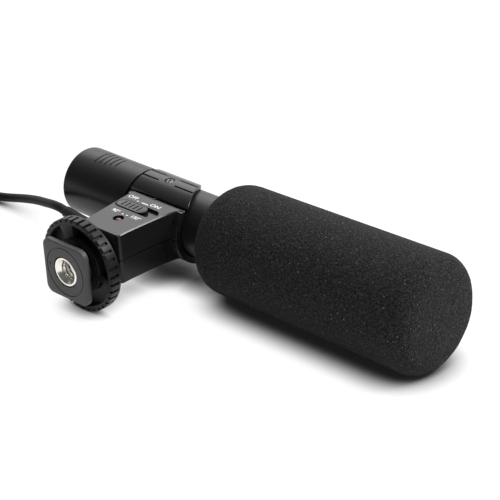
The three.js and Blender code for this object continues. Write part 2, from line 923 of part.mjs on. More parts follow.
// Outline of the wheel's rim: blocks with narrow grooves between them.
function toothedOutline() {
  const shape = new THREE.Shape();
  const pitch = (Math.PI * 2) / wheelTeeth;
  const point = (radius, angle) => [radius * Math.cos(angle), radius * Math.sin(angle)];
  for (let i = 0; i < wheelTeeth; i += 1) {
    const groove = wheelGrooveDegrees * radians + i * pitch;
    const half = (pitch * (1 - wheelToothShare)) / 2;
    const corners = [
      point(wheelRadius - wheelGroove, groove - half),
      point(wheelRadius - wheelGroove, groove + half),
      point(wheelRadius, groove + half),
      point(wheelRadius, groove + pitch / 2),
      point(wheelRadius, groove + pitch - half),
    ];
    corners.forEach(([x, y], k) => (i + k ? shape.lineTo(x, y) : shape.moveTo(x, y)));
  }
  return shape;
}

// Lock wheel: a grooved rim with a thin lip at its back, a web, a hub and three spokes.
function lockWheel() {
  const rim = solid(prismAlongArm(toothedOutline(), wheelBack + wheelLip, wheelFront));
  const lipEnd = wheelBack + wheelLip + wheelWeb / 2;
  const lip = solid(alongArm(disc(wheelLipRadius, wheelBack, lipEnd, wheelTeeth * 2)));
  const floor = wheelBack + wheelWeb;
  const recess = solid(alongArm(disc(wheelRimInner, floor, wheelFront + overrun, tubeSides)));
  const hub = solid(alongArm(disc(wheelHubRadius, wheelBack, hubFace, ringSides)));
  const ribs = spokes.map(({ lean, hubWidth, rimWidth }) => {
    const shape = new THREE.Shape();
    const [near, far] = [wheelHubRadius * spokeRootShare, wheelRimInner + wheelGroove];
    shape.moveTo(near, -hubWidth / 2);
    shape.lineTo(far, -rimWidth / 2);
    shape.lineTo(far, rimWidth / 2);
    shape.lineTo(near, hubWidth / 2);
    const rib = prism(shape, floor - wheelWeb / 2, hubFace).rotateZ(lean * radians);
    return solid(rib.rotateX(Math.PI / 2));
  });
  const [boreFrom, boreTo] = [wheelBack - overrun, wheelFront + overrun];
  const bore = solid(alongArm(disc(wheelBore, boreFrom, boreTo, ringSides)));
  return cut(joined(cut(joined(rim, lip), recess), hub, ...ribs), bore);
}

const lockWasher = () =>
  alongArm(
    ring(wheelBore, washerRadius, hubFace + fit, hubFace + fit + washerThickness, ringSides),
  );

// Switch knob: a pad with grip grooves across it and a stem into the switch.
function switchKnob() {
  const [rear, front] = [knobCentre - knobLength / 2, knobCentre + knobLength / 2];
  const base = recessFloor + fit;
  const top = armHalf + knobProud;
  const outline = slotShape(rear, front, -knobAt, knobWidth / 2);
  const pad = solid(prism(outline, base, top, recessSteps));
  const stem = solid(
    block(
      [stemRear, knobAt - stemWidth / 2, stemEnd],
      [stemFront, knobAt + stemWidth / 2, base + knobProud],
    ),
  );
  const grooves = Array.from({ length: knobGrooves }, (_, i) => {
    const x = knobCentre + (i - (knobGrooves - 1) / 2) * knobGroovePitch;
    const half = knobGrooveWidth / 2;
    return solid(
      block(
        [x - half, knobAt - knobGrooveLength / 2, top - knobGrooveDepth],
        [x + half, knobAt + knobGrooveLength / 2, top + overrun],
      ),
    );
  });
  return cut(joined(pad, stem), ...grooves);
}

// Body of the switch on the circuit board, with a slot for the knob's stem.
function switchBody() {
  const margin = fit + switchMargin;
  const body = solid(
    block(
      [stemRear - margin, knobAt - switchWidth / 2, switchBottom],
      [stemFront + knobTravel + margin, knobAt + switchWidth / 2, switchTop],
    ),
  );
  return cut(body, stemTool(stemEnd - fit, switchTop + overrun));
}

const circuitBoard = () =>
  block([boardRear, boardStart, boardTop - boardThickness], [boardFront, boardEnd, boardTop]);

// Clear red lamp with a round top, standing on the board and ending in the hole of the arm's face.
function powerLamp() {
  const top = armHalf - lampRecess;
  const dome = lampDomeShares.map(([out, down]) => [lampRadius * out, top - lampRadius * down]);
  return upright(
    revolved(
      [
        [0, boardTop + fit],
        [lampRadius, boardTop + fit],
        ...dome,
        [0, top],
      ],
      pinSides,
    ),
  ).translate(lampX, -lampAt, 0);
}

// Strain relief: a rubber boot that tapers along the lead, held by a flange inside the arm.
function strainRelief() {
  return placeOnRelief(
    revolved(
      [
        [0, -reliefInside],
        [reliefFlangeRadius, -reliefInside],
        [reliefFlangeRadius, reliefFlange - reliefInside],
        [reliefRootRadius, reliefFlange - reliefInside],
        [reliefRootRadius, 0],
        [reliefTipRadius, reliefLength],
        [0, reliefLength],
      ],
      pinSides,
    ),
  );
}

// Free stretch of the lead.
function lead() {
  const path = new THREE.CatmullRomCurve3(leadRoute.map((point) => new THREE.Vector3(...point)));
  const section = new THREE.Shape();
  for (let i = 0; i < leadSides; i += 1) {
    const angle = (i / leadSides) * Math.PI * 2;
    const [x, y] = [leadRadius * Math.cos(angle), leadRadius * Math.sin(angle)];
    if (i) section.lineTo(x, y);
    else section.moveTo(x, y);
  }
  const options = { steps: leadSteps, extrudePath: path, bevelEnabled: false };
  return new THREE.ExtrudeGeometry(section, options);
}

// Centre line of the coil. It enters at the side nearest the tube, winds in on the table, climbs
// in the half turn where the spiral reverses, winds out on top and runs down to the plug.
function coilPoints() {
  const turns = coilFlatTurns * 2 + coilClimbTurns;
  const climbEnd = coilFlatTurns + coilClimbTurns;
  const steps = Math.round(turns * coilTurnSteps);
  const bottom = leadRadius;
  const [centreX, centreY] = coilCentre;
  const points = [];
  const add = (x, y, z) => points.push(new THREE.Vector3(x, y, z));
  add(centreX + coilEnd, centreY + coilRadius, bottom);
  for (let i = 0; i <= steps; i += 1) {
    const turn = i / coilTurnSteps;
    const climbed = Math.min(Math.max((turn - coilFlatTurns) / coilClimbTurns, 0), 1);
    const inward = Math.min(turn, coilFlatTurns) - Math.max(turn - climbEnd, 0);
    const reversal = climbed * (1 - climbed) * coilClimbTurns;
    const radius = coilRadius - coilPitch * (inward + reversal);
    const angle = Math.PI / 2 + turn * Math.PI * 2;
    const height = bottom + coilLayer * climbed * climbed * (3 - 2 * climbed);
    add(centreX + radius * Math.cos(angle), centreY + radius * Math.sin(angle), height);
  }
  const run = coilExit - coilEnd;
  for (let i = 1; i <= coilExitSteps; i += 1) {
    const share = i / coilExitSteps;
    const fall = share * share * (3 - 2 * share);
    const height = bottom + coilLayer + (plugGripRadius - bottom - coilLayer) * fall;
    add(centreX + run * share, centreY - coilRadius, height);
  }
  add(centreX + coilExit, centreY - coilRadius, plugGripRadius);
  return points;
}

// Least distance between two runs of the coil that aren't neighbours along it, less its diameter.
function coilGap(points) {
  const nearest = new THREE.Vector3();
  let least = Infinity;
  for (let i = 0; i < points.length; i += 1) {
    for (let j = 0; j + 1 < points.length; j += 1) {
      if (Math.abs(i - j) < coilTurnSteps * coilNeighbourShare) continue;
      new THREE.Line3(points[j], points[j + 1]).closestPointToPoint(points[i], true, nearest);
      least = Math.min(least, nearest.distanceTo(points[i]) - leadRadius * 2);
    }
  }
  return least;
}

function lengthOf(points) {
  return points.slice(1).reduce((sum, point, i) => sum + point.distanceTo(points[i]), 0);
}

const plugStart = coilCentre[0] + coilExit + fit;

// Moulded grip of the plug, tapered towards the lead, with a socket for the pin.
function plugGrip() {
  const end = plugStart + plugGripLength;
  return alongTube(
    revolved(
      [
        [0, plugStart],
        [plugGripTipRadius, plugStart],
        [plugGripRadius, plugStart + plugGripLength * plugTaperShare],
        [plugGripRadius, end],
        [plugPinRadius + fit, end],
        [plugPinRadius + fit, end - plugSocket],
        [0, end - plugSocket],
      ],
      pinSides,
    ),
  ).translate(0, coilCentre[1] - coilRadius, plugGripRadius);
}

// Jack pin of 3.5 mm, with two ring grooves and a pointed tip.
function plugPin() {
  const base = plugStart + plugGripLength;
  const tip = base + plugPinLength;
  const grooves = plugRings.flatMap((place) => [
    [plugPinRadius, base + place],
    [plugGrooveRadius, base + place],
    [plugGrooveRadius, base + place + plugGroove],
    [plugPinRadius, base + place + plugGroove],
  ]);
  return alongTube(
    revolved(
      [
        [0, base - plugSocket + fit],
        [plugPinRadius, base - plugSocket + fit],
        ...grooves,
        ...plugTipShares.map(([out, back]) => [plugPinRadius * out, tip - plugPinRadius * back]),
        [0, tip],
      ],
      pinSides,
    ),
  ).translate(0, coilCentre[1] - coilRadius, plugGripRadius);
}

// The head: everything that leans with the arm.
const head = new THREE.Group();
head.position.z = foamHeight;
head.rotation.x = armLean;
const add = (name, body, material) => {
  const item = mesh(name, body.isBufferGeometry ? body : geometryOf(body), material);
  head.add(item);
  return item;
};

add("barrel", barrel(), blackPaint);
add("front_cap", frontCap(), blackPart);
add("capsule_holder", capsuleHolder(), blackRubber);
add("capsule_left", capsule(), brightSteel).position.y = capsuleOffset;
add("capsule_right", capsule(), brightSteel).position.y = -capsuleOffset;
add("tail_sleeve", tailSleeve(), blackPaint);
add("battery_holder", batteryHolder(), blackPart);
add("battery_cell", batteryCell(), cellWrap);
add("contact_spring", contactSpring(), brightSteel);
add("contact_plate", contactPlate(), brightSteel);
add("arm_upper", armUpper(), blackShell);
add("arm_lower", armLower(), blackShell);
add("saddle_cover", saddleCover(), blackShell);
add("shoe_foot", shoeFoot(), blackShell);
add("threaded_insert", threadedInsert(), nickel);
add("lock_wheel", lockWheel(), blackPart);
add("lock_washer", lockWasher(), blackRubber);
add("switch_knob", switchKnob(), blackPart);
add("switch_body", switchBody(), blackPart);
add("circuit_board", circuitBoard(), greenBoard);
add("power_lamp", powerLamp(), redLens);
add("strain_relief", strainRelief(), blackRubber);

const clampScrew = add(
  "clamp_screw",
  screw(clampHeadRadius, clampHead, clampShankRadius, clampShank),
  brightSteel,
);
clampScrew.position.set(clampScrewAt, 0, saddleRadius - clampSunk - clampHead - clampShank);

for (const [name, side] of [
  ["shell_screw_left", -1],
  ["shell_screw_right", 1],
]) {
  const shank = shellShankTop + armHalf - shellHead;
  const item = add(name, screw(shellHeadRadius, shellHead, shellShankRadius, shank), brightSteel);
  item.rotation.x = Math.PI;
  item.position.set(side * shellScrewX, -shellScrewAt, shellShankTop);
}

// The foam lies on the table with a flat facet, so it doesn't lean with the arm.
const windshield = new THREE.Group();
windshield.position.z = foamHeight;
windshield.add(mesh("foam_windshield", foamWindshield(), foamCloth));

const coil = coilPoints();
const cord = new THREE.Group();
cord.add(mesh("lead", lead(), blackRubber));
cord.add(mesh("lead_coil", tubeThrough(coil, leadRadius, coilSides), blackRubber));
cord.add(mesh("plug_grip", plugGrip(), blackRubber));
cord.add(mesh("plug_pin", plugPin(), nickel));

// The origin is under the middle of the microphone, without its lead, on the table.
const body = new THREE.Group();
body.add(head, windshield);
const box = new THREE.Box3().setFromObject(body, true);
const centre = box.getCenter(new THREE.Vector3());
const stand = new THREE.Group();
stand.add(body, cord);
stand.position.set(-centre.x, -centre.y, -box.min.z);

const free = leadRoute.map((point) => new THREE.Vector3(...point));
const whole = lengthOf(new THREE.CatmullRomCurve3(free).getPoints(leadSamples)) + lengthOf(coil);
console.log(`coil: least gap to itself ${coilGap(coil).toFixed(3)} mm`);
console.log(`lead: ${whole.toFixed(1)} mm from the strain relief to the plug`);
console.log(`origin: ${stand.position.toArray().map((value) => value.toFixed(3))}`);

const microphone = new THREE.Group();
microphone.add(stand);

export default microphone;
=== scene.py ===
import math

import bpy
from mathutils import Matrix, Vector


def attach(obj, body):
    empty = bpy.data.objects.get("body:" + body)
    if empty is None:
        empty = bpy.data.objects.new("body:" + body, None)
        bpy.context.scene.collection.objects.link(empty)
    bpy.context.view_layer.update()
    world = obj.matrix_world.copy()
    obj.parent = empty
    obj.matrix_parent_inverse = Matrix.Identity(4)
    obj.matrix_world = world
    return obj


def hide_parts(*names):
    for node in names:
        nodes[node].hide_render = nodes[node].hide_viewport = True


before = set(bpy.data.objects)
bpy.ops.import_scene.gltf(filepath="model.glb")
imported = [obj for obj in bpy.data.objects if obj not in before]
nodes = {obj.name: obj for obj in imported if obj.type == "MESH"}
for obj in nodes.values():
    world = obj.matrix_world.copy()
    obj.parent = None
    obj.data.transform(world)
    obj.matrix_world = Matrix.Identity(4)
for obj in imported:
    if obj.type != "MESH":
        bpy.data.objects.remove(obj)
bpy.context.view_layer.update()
scene = bpy.context.scene
MM = 0.001

# Where the shared frame's origin lies, seen from the middle of the arm on the tube's axis, and
# the sizes that make the head lean, in millimetres: it rests on the foam and on the wheel's rim
SHIFT = Vector((-32.35, 14.976, 0.0))
FOAM_RADIUS = 18.35
FOAM_HEIGHT = FOAM_RADIUS * math.cos(math.pi / 48)
WHEEL_RADIUS = 15.2
WHEEL_FRONT = 42.6
LEAN = math.asin(FOAM_HEIGHT / math.hypot(WHEEL_FRONT, WHEEL_RADIUS))
LEAN -= math.atan2(WHEEL_RADIUS, WHEEL_FRONT)

# Millimetres of the leaning head, of the foam or of the lead into the frame's metres. In the
# head, X lies along the tube, -Y along the arm and Z is up from the arm's face.
LEVEL = Matrix.Scale(MM, 4) @ Matrix.Translation(SHIFT)
FOAM = LEVEL @ Matrix.Translation((0, 0, FOAM_HEIGHT))
HEAD = FOAM @ Matrix.Rotation(LEAN, 4, "X")

# Directions that a turned piece can be laid along
UP = Matrix.Identity(4)
TUBE = Matrix.Rotation(math.pi / 2, 4, "Y")
ARM = Matrix.Rotation(math.pi / 2, 4, "X")

# Sizes and places that several pieces of the head share, in millimetres: radii, distances along
# the arm from the tube's axis, and heights over that axis
ARM_BORE = 10.6
ARM_START = 7.8
ARM_END = 32.5
ARM_FACE = 8.41
UPPER_SEAM = -0.32
LOWER_SEAM = -0.62
CAVITY_HEIGHT = 6.81
NECK_HOLE = 5.1
RELIEF_HOLE = 2.7
RELIEF_LENGTH = 22
CLAMP_X = -1.9
CLAMP_HOLE = 1.1
SHELL_SCREWS = (-7.9, 6.9)
SHELL_SCREWS_ALONG = 15
SWITCH_ALONG = 15.8
LAMP_PLACE = (-0.8, -23.8, 0)
PLATE_FACE = 47.7
WHEEL_BACK = 38.6
WHEEL_FLOOR = 39.5

# The strain relief leaves the arm's rear side at this place, a little towards the tube
RELIEF = Matrix.Translation((-9.156, -23.5, -0.47))
RELIEF = RELIEF @ Matrix.Rotation(math.radians(-10), 4, "Z") @ Matrix.Rotation(-math.pi / 2, 4, "Y")

# Corners nearer than the first are merged. The second tells one place from another.
MERGE = 0.0005
NEAR = 0.01

SMOOTH_RAMP = {"interpolation_type": "SMOOTHSTEP"}


def make_camera():
    """The photograph's place and lens."""
    data = bpy.data.cameras.new("camera")
    data.sensor_width = 36
    data.lens = 132.214
    data.clip_start = 0.02
    data.clip_end = 20
    camera = bpy.data.objects.new("camera", data)
    right = Vector((0.73174, 0.68158, 0.00365)).normalized()
    forward = Vector((-0.61475, 0.66228, -0.42833)).normalized()
    up = right.cross(forward).normalized()
    right = forward.cross(up)
    turned_to = Matrix((right, up, -forward)).transposed().to_4x4()
    turned_to.translation = Vector((347.51, -359.774, 258.659)) * MM
    camera.matrix_world = turned_to
    scene.collection.objects.link(camera)
    scene.camera = camera


# Shader maths: a socket that takes part in sums, and a finish that makes nodes
class Value:
    """An output socket of a node, which can be added, scaled and cut at an edge."""

    def __init__(self, finish, socket):
        self.finish = finish
        self.socket = socket

    def sum(self, operation, *values):
        return self.finish.node("ShaderNodeMath", {"operation": operation}, dict(enumerate(values)))

    def __add__(self, other):
        return self.sum("ADD", self, other)

    def __mul__(self, other):
        return self.sum("MULTIPLY", self, other)

    __radd__ = __add__

    def above(self, edge, width):
        """0 below an edge and 1 above it, soft over a width."""
        inputs = {0: self, 1: edge - width / 2, 2: edge + width / 2}
        return self.finish.node("ShaderNodeMapRange", SMOOTH_RAMP, inputs)


class Finish:
    """A material. The sizes of its patterns are in millimetres on the piece."""

    def __init__(self, name, color, roughness, **uniform):
        self.material = bpy.data.materials.new(name)
        self.material.use_nodes = True
        self.tree = self.material.node_tree
        self.shader = self.tree.nodes["Principled BSDF"]
        self.set(Base_Color=(*color, 1), Roughness=roughness, **uniform)

    def set(self, **sockets):
        for name, value in sockets.items():
            self.connect(self.shader.inputs[name.replace("_", " ")], value)

    def connect(self, socket, value):
        if isinstance(value, Value):
            self.tree.links.new(value.socket, socket)
        else:
            socket.default_value = value

    def node(self, kind, settings=None, inputs=None, output=0):
        made = self.tree.nodes.new(kind)
        for name, value in (settings or {}).items():
            setattr(made, name, value)
        for name, value in (inputs or {}).items():
            self.connect(made.inputs[name], value)
        return Value(self, made.outputs[output])

    def place(self):
        """Millimetres on the piece."""
        vector = self.node("ShaderNodeTexCoord", output=3)
        scale = (1 / MM, 1 / MM, 1 / MM)
        return self.node("ShaderNodeMapping", None, {"Vector": vector, "Scale": scale})

    def noise(self, size, detail=2.0, roughness=0.5):
        inputs = {"Vector": self.place(), "Scale": 1 / size, "Detail": detail}
        return self.node("ShaderNodeTexNoise", None, {**inputs, "Roughness": roughness})

    def mixed(self, factor, first, second):
        sockets = [(*c, 1) if isinstance(c, tuple) else c for c in (first, second)]
        inputs = {0: factor, 6: sockets[0], 7: sockets[1]}
        return self.node("ShaderNodeMix", {"data_type": "RGBA"}, inputs, 2)

    def bump(self, height, depth):
        inputs = {"Height": height, "Distance": depth * MM, "Strength": 1.0}
        self.set(Normal=self.node("ShaderNodeBump", None, inputs))

    def vary_gloss(self, roughness, pattern, span):
        """Roughness that follows a pattern, from a little below its own value up over a span."""
        self.set(Roughness=roughness - 0.05 + pattern * span)


def grey(level):
    return (level, level, level * 1.03)


def satin_black(name, level, roughness, specular, grain=0.3, relief=0.006):
    """Moulded plastic or paint: a fine even grain, with a slow change of gloss."""
    finish = Finish(name, grey(level), roughness, Specular_IOR_Level=specular)
    fine = finish.noise(grain, 3, 0.6)
    slow = finish.noise(9, 3)
    finish.set(Base_Color=finish.mixed(fine, grey(level * 0.85), grey(level * 1.15)))
    finish.vary_gloss(roughness, slow, 0.1)
    finish.bump(fine, relief)
    return finish.material


def foam_black():
    """Open foam: dark cells between lighter walls, matt, with a few bright specks that are painted
    glints.
    """
    finish = Finish("foam_black", grey(0.02), 0.95, Specular_IOR_Level=0.2)
    wall = finish.noise(0.55, 2, 0.6)
    patch = finish.noise(4, 3)
    # Painted glints: bright specks in the base colour, where the cell walls would catch the light
    painted_glint = finish.noise(0.6, 1).above(0.75, 0.04)
    dark = finish.mixed(wall.above(0.53, 0.34), grey(0.006), grey(0.045))
    toned = finish.mixed(patch * 0.5, dark, grey(0.013))
    finish.set(Base_Color=finish.mixed(painted_glint * 0.8, toned, grey(0.25)))
    finish.bump(wall, 0.45)
    return finish.material


def bright_metal(name, color, roughness):
    finish = Finish(name, color, roughness, Metallic=1.0)
    fine = finish.noise(0.25)
    finish.vary_gloss(roughness, fine, 0.12)
    finish.bump(fine, 0.003)
    return finish.material


def soft_rubber(name, level, roughness):
    finish = Finish(name, grey(level), roughness, Specular_IOR_Level=0.15)
    fine = finish.noise(0.2, 3, 0.6)
    slow = finish.noise(6, 2)
    finish.set(Base_Color=finish.mixed(slow, grey(level * 0.8), grey(level * 1.2)))
    finish.vary_gloss(roughness, slow, 0.1)
    finish.bump(fine, 0.006)
    return finish.material


def red_lens():
    finish = Finish("red_lens", (0.15, 0.04, 0.05), 0.15, Coat_Weight=0.3)
    depth = finish.noise(0.9, 1)
    finish.set(Base_Color=finish.mixed(depth, (0.08, 0.015, 0.025), (0.18, 0.06, 0.07)))
    return finish.material


def white_ink():
    finish = Finish("white_ink", (0.8, 0.8, 0.8), 0.55)
    worn = finish.noise(0.3, 2)
    finish.set(Base_Color=finish.mixed(worn, (0.68, 0.68, 0.68), (0.9, 0.9, 0.9)))
    return finish.material


def green_board():
    finish = Finish("green_board", (0.02, 0.1, 0.04), 0.4)
    tracks = finish.noise(1.2, 0).above(0.5, 0.05)
    finish.set(Base_Color=finish.mixed(tracks, (0.015, 0.075, 0.03), (0.03, 0.15, 0.06)))
    return finish.material


def cell_wrap():
    finish = Finish("cell_wrap", (0.25, 0.27, 0.29), 0.35, Metallic=0.6)
    finish.vary_gloss(0.35, finish.noise(2), 0.12)
    return finish.material


BLACK_SHELL = satin_black("black_shell", 0.011, 0.22, specular=0.26)
BLACK_TUBE = satin_black("black_tube", 0.009, 0.34, specular=0.27, grain=0.22, relief=0.003)
BLACK_PART = satin_black("black_part", 0.012, 0.38, specular=0.2)
FOOT_BLACK = satin_black("foot_black", 0.06, 0.48, specular=0.35)
BLACK_RUBBER = soft_rubber("black_rubber", 0.009, 0.6)
FOAM_BLACK = foam_black()
NICKEL = bright_metal("nickel", (0.9, 0.87, 0.82), 0.22)
BRIGHT_STEEL = bright_metal("bright_steel", (0.62, 0.62, 0.62), 0.3)
DARK_SCREW = bright_metal("dark_screw", (0.12, 0.12, 0.125), 0.32)
BARE_METAL = bright_metal("bare_metal", (0.55, 0.55, 0.56), 0.35)
RED_LENS = red_lens()
WHITE_INK = white_ink()
GREEN_BOARD = green_board()
CELL_WRAP = cell_wrap()


# Modelling
def deselect():
    if bpy.context.object and bpy.context.object.mode != "OBJECT":
        bpy.ops.object.mode_set(mode="OBJECT")
    bpy.ops.object.select_all(action="DESELECT")


def only(piece):
    deselect()
    bpy.context.view_layer.objects.active = piece
    piece.select_set(True)


def open_with(piece, kind, choose):
    """Opens a piece for editing. What is chosen by the places of its corners is selected."""
    only(piece)
    bpy.ops.object.mode_set(mode="EDIT")
    bpy.ops.mesh.select_mode(type=kind)
    bpy.ops.mesh.select_all(action="DESELECT")
    bpy.ops.object.mode_set(mode="OBJECT")
    mesh = piece.data
    if kind == "VERT":
        for corner in mesh.vertices:
            corner.select = choose([corner.co])
    else:
        for item in mesh.edges if kind == "EDGE" else mesh.polygons:
            item.select = choose([mesh.vertices[i].co for i in item.vertices])
    bpy.ops.object.mode_set(mode="EDIT")


def close():
    bpy.ops.object.mode_set(mode="OBJECT")


def modified(piece, kind, **settings):
    only(piece)
    modifier = piece.modifiers.new(kind.lower(), kind)
    for name, value in settings.items():
        setattr(modifier, name, value)
    bpy.ops.object.modifier_apply(modifier=modifier.name)
    return piece


def boolean(piece, operation, others):
    for other in others:
        modified(piece, "BOOLEAN", operation=operation, object=other, solver="EXACT")
        bpy.data.objects.remove(other)
    return piece


def less(piece, *tools):
    return boolean(piece, "DIFFERENCE", tools)


def plus(piece, *others):
    return boolean(piece, "UNION", others)


def shared(piece, *others):
    return boolean(piece, "INTERSECT", others)


def joined(*pieces):
    deselect()
    for piece in pieces:
        piece.select_set(True)
    bpy.context.view_layer.objects.active = pieces[0]
    bpy.ops.object.join()
    return pieces[0]


def moved(piece, matrix):
    piece.data.transform(matrix)
    return piece


def soft_edges(piece, width, segments=3, angle=35):
    return modified(
        piece,
        "BEVEL",
        width=width,
        segments=segments,
        limit_method="ANGLE",
        angle_limit=math.radians(angle),
        use_clamp_overlap=True,
    )


def arc(centre, radius, start, end, steps):
    """Points of a round corner in a turned profile, from one direction to another in degrees."""
    turns = [math.radians(start + (end - start) * i / steps) for i in range(steps + 1)]
    return [
        (centre[0] + radius * math.cos(turn), centre[1] + radius * math.sin(turn)) for turn in turns
    ]


def turned(name, profile, direction=UP, sides=96):
    """A turned piece: a disc or ring is drawn up and scaled from (radius, height) to the next."""
    deselect()
    ring = profile[0] == profile[-1]
    radius, height = profile[0]
    bpy.ops.mesh.primitive_circle_add(
        vertices=sides,
        radius=radius,
        fill_type="NOTHING" if ring else "NGON",
        location=(0, 0, height),
    )
    piece = bpy.context.object
    piece.name = name
    bpy.ops.object.transform_apply(location=True)
    bpy.ops.object.mode_set(mode="EDIT")
    bpy.ops.mesh.select_mode(type="VERT")
    bpy.ops.mesh.select_all(action="SELECT")
    for (before, low), (after, high) in zip(profile, profile[1:]):
        bpy.ops.mesh.extrude_region_move(TRANSFORM_OT_translate={"value": (0, 0, high - low)})
        scale = after / before
        bpy.ops.transform.resize(value=(scale, scale, 1), center_override=(0, 0, high))
    bpy.ops.mesh.select_all(action="SELECT")
    if ring:
        bpy.ops.mesh.remove_doubles(threshold=MERGE)
    bpy.ops.mesh.normals_make_consistent(inside=False)
    close()
    return moved(piece, direction)


def block(low, high, name="block"):
    """A block between two corners."""
    deselect()
    middle = [(a + b) / 2 for a, b in zip(low, high)]
    bpy.ops.mesh.primitive_cube_add(size=1, location=middle)
    piece = bpy.context.object
    piece.name = name
    piece.scale = [b - a for a, b in zip(low, high)]
    bpy.ops.object.transform_apply(location=True, scale=True)
    return piece


def plan_block(name, outline, low, high):
    """A flat outline in (x, distance along the arm): a disc's corners are moved, then drawn up."""
    deselect()
    bpy.ops.mesh.primitive_circle_add(
        vertices=len(outline), radius=1, fill_type="NGON", location=(0, 0, low)
    )
    piece = bpy.context.object
    piece.name = name
    bpy.ops.object.transform_apply(location=True)
    for corner, (x, along) in enumerate(outline):
        place = piece.data.vertices[corner].co.copy()
        open_with(piece, "VERT", lambda corners: (corners[0] - place).length < MERGE)
        bpy.ops.transform.translate(value=(x - place.x, -along - place.y, 0))
        close()
    open_with(piece, "FACE", lambda corners: True)
    bpy.ops.mesh.extrude_region_move(TRANSFORM_OT_translate={"value": (0, 0, high - low)})
    bpy.ops.mesh.select_all(action="SELECT")
    bpy.ops.mesh.normals_make_consistent(inside=False)
    close()
    return piece


def pin(radius, low, high, direction=UP, at=(0, 0, 0), sides=64):
    """A round tool or shank along a direction, from one height to another."""
    deselect()
    bpy.ops.mesh.primitive_cylinder_add(
        vertices=sides, radius=radius, depth=high - low, location=(0, 0, (high + low) / 2)
    )
    piece = bpy.context.object
    bpy.ops.object.transform_apply(location=True)
    return moved(piece, Matrix.Translation(at) @ direction)


def slot_tool(rear, front, at, half, low, high, sides=48):
    """A block with round ends along the tube: the front half of a cylinder is drawn forwards."""
    tool = pin(half, low, high, at=(rear + half, -at, 0), sides=sides)
    open_with(tool, "VERT", lambda corners: corners[0].x > rear + half + NEAR)
    bpy.ops.transform.translate(value=(front - rear - 2 * half, 0, 0))
    close()
    return tool


def sector(inner, outer, low, high, half):
    """Part of a ring about the tube's axis, a half angle in degrees either way from the top."""
    profile = [(inner, low), (outer, low), (outer, high), (inner, high), (inner, low)]
    tool = turned("sector", profile, TUBE, 192)
    turn = math.radians(half)
    for side in (-1, 1):
        open_with(tool, "VERT", lambda corners: True)
        bpy.ops.mesh.bisect(
            plane_co=(0, 0, 0),
            plane_no=(0, side * math.cos(turn), -math.sin(turn)),
            use_fill=True,
            clear_outer=True,
        )
        close()
    return tool


def thread(name, radius, depth, pitch, low, high, direction):
    """Ridge of a screw thread round an axis, four-sided in section."""
    deselect()
    bpy.ops.mesh.primitive_circle_add(
        vertices=4, radius=1, location=(radius, 0, low), rotation=(math.pi / 2, 0, 0)
    )
    piece = bpy.context.object
    piece.name = name
    half_width = pitch * 0.42
    piece.scale = (depth, half_width, 1)
    bpy.ops.object.transform_apply(location=True, rotation=True, scale=True)
    turns = math.floor((high - low) / pitch)
    steps = 48
    modified(
        piece,
        "SCREW",
        axis="Z",
        angle=math.tau,
        screw_offset=pitch,
        iterations=turns,
        steps=steps,
        render_steps=steps,
        use_merge_vertices=False,
    )
    open_with(piece, "VERT", lambda corners: True)
    bpy.ops.mesh.remove_doubles(threshold=MERGE)
    bpy.ops.mesh.select_all(action="DESELECT")
    bpy.ops.mesh.select_non_manifold()
    bpy.ops.mesh.edge_face_add()
    bpy.ops.mesh.select_all(action="SELECT")
    bpy.ops.mesh.normals_make_consistent(inside=False)
    close()
    return moved(piece, direction)


def finished(piece, material, place, body, replaces=(), smooth=32):
    """Puts a piece in the frame's metres, gives it its finish and lets it ride on its body."""
    only(piece)
    piece.data.transform(place)
    piece.data.materials.clear()
    piece.data.materials.append(material)
    bpy.ops.object.shade_smooth_by_angle(angle=math.radians(smooth))
    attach(piece, body)
    if replaces:
        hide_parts(*replaces)
    return piece


def foam():
    """Thick foam sock: bore, round edges at both ends and a face that is a little crowned."""
    rear, front, crown = 20.7, 107.0, 0.8
    bore, bore_end = 10.6, 99.1
    rear_radius, rear_round = 17.75, 8.2
    front_radius, front_round = 18.5, 6.2
    profile = [(bore, bore_end), (bore, rear + 0.08)]
    profile += arc((rear_radius - rear_round, rear + rear_round), rear_round, -82, 0, 16)
    corner = (front_radius - front_round, front - crown - front_round)
    profile += arc(corner, front_round, 0, 84, 12)
    profile += [(9.5, front - 0.33), (6.4, front - 0.14), (3.2, front - 0.03), (0.8, front)]
    piece = turned("foam", profile, TUBE, 216)
    # A slight unevenness, coarse and fine. The pores are in the material.
    for size, height in ((14, 0.35), (1.3, 0.16)):
        texture = bpy.data.textures.new("foam_relief", "CLOUDS")
        texture.noise_scale = size
        modified(
            piece,
            "DISPLACE",
            texture=texture,
            strength=height,
            mid_level=0.5,
            texture_coords="LOCAL",
        )
    finished(piece, FOAM_BLACK, FOAM, "windshield", ["foam_windshield"], smooth=60)


def barrel():
    """Tube with a narrower spigot at the rear, nine pairs of sound ports and the clamp's hole."""
    bore, spigot, radius = 8.4, 9.4, 10.3
    rear, shoulder, front = -21, -13.5, 97
    profile = [(bore, rear), (spigot, rear), (spigot, shoulder), (10.15, shoulder)]
    profile += [(radius, -13.35), (radius, 96.8), (10.1, front), (bore, front), (bore, rear)]
    piece = turned("barrel_tube", profile, TUBE, 144)
    first_port, port_length, port_step, half_width = 30, 14, 19, 1
    for row in range(3):
        start = first_port + row * port_step
        for turn in range(3):
            tool = slot_tool(start, start + port_length, 0, half_width, -13, 13, 32)
            less(piece, moved(tool, Matrix.Rotation(turn * math.pi / 3, 4, "X")))
    less(piece, pin(CLAMP_HOLE, 0, 12, at=(CLAMP_X, 0, 0), sides=32))
    finished(piece, BLACK_TUBE, HEAD, "microphone", ["barrel"])


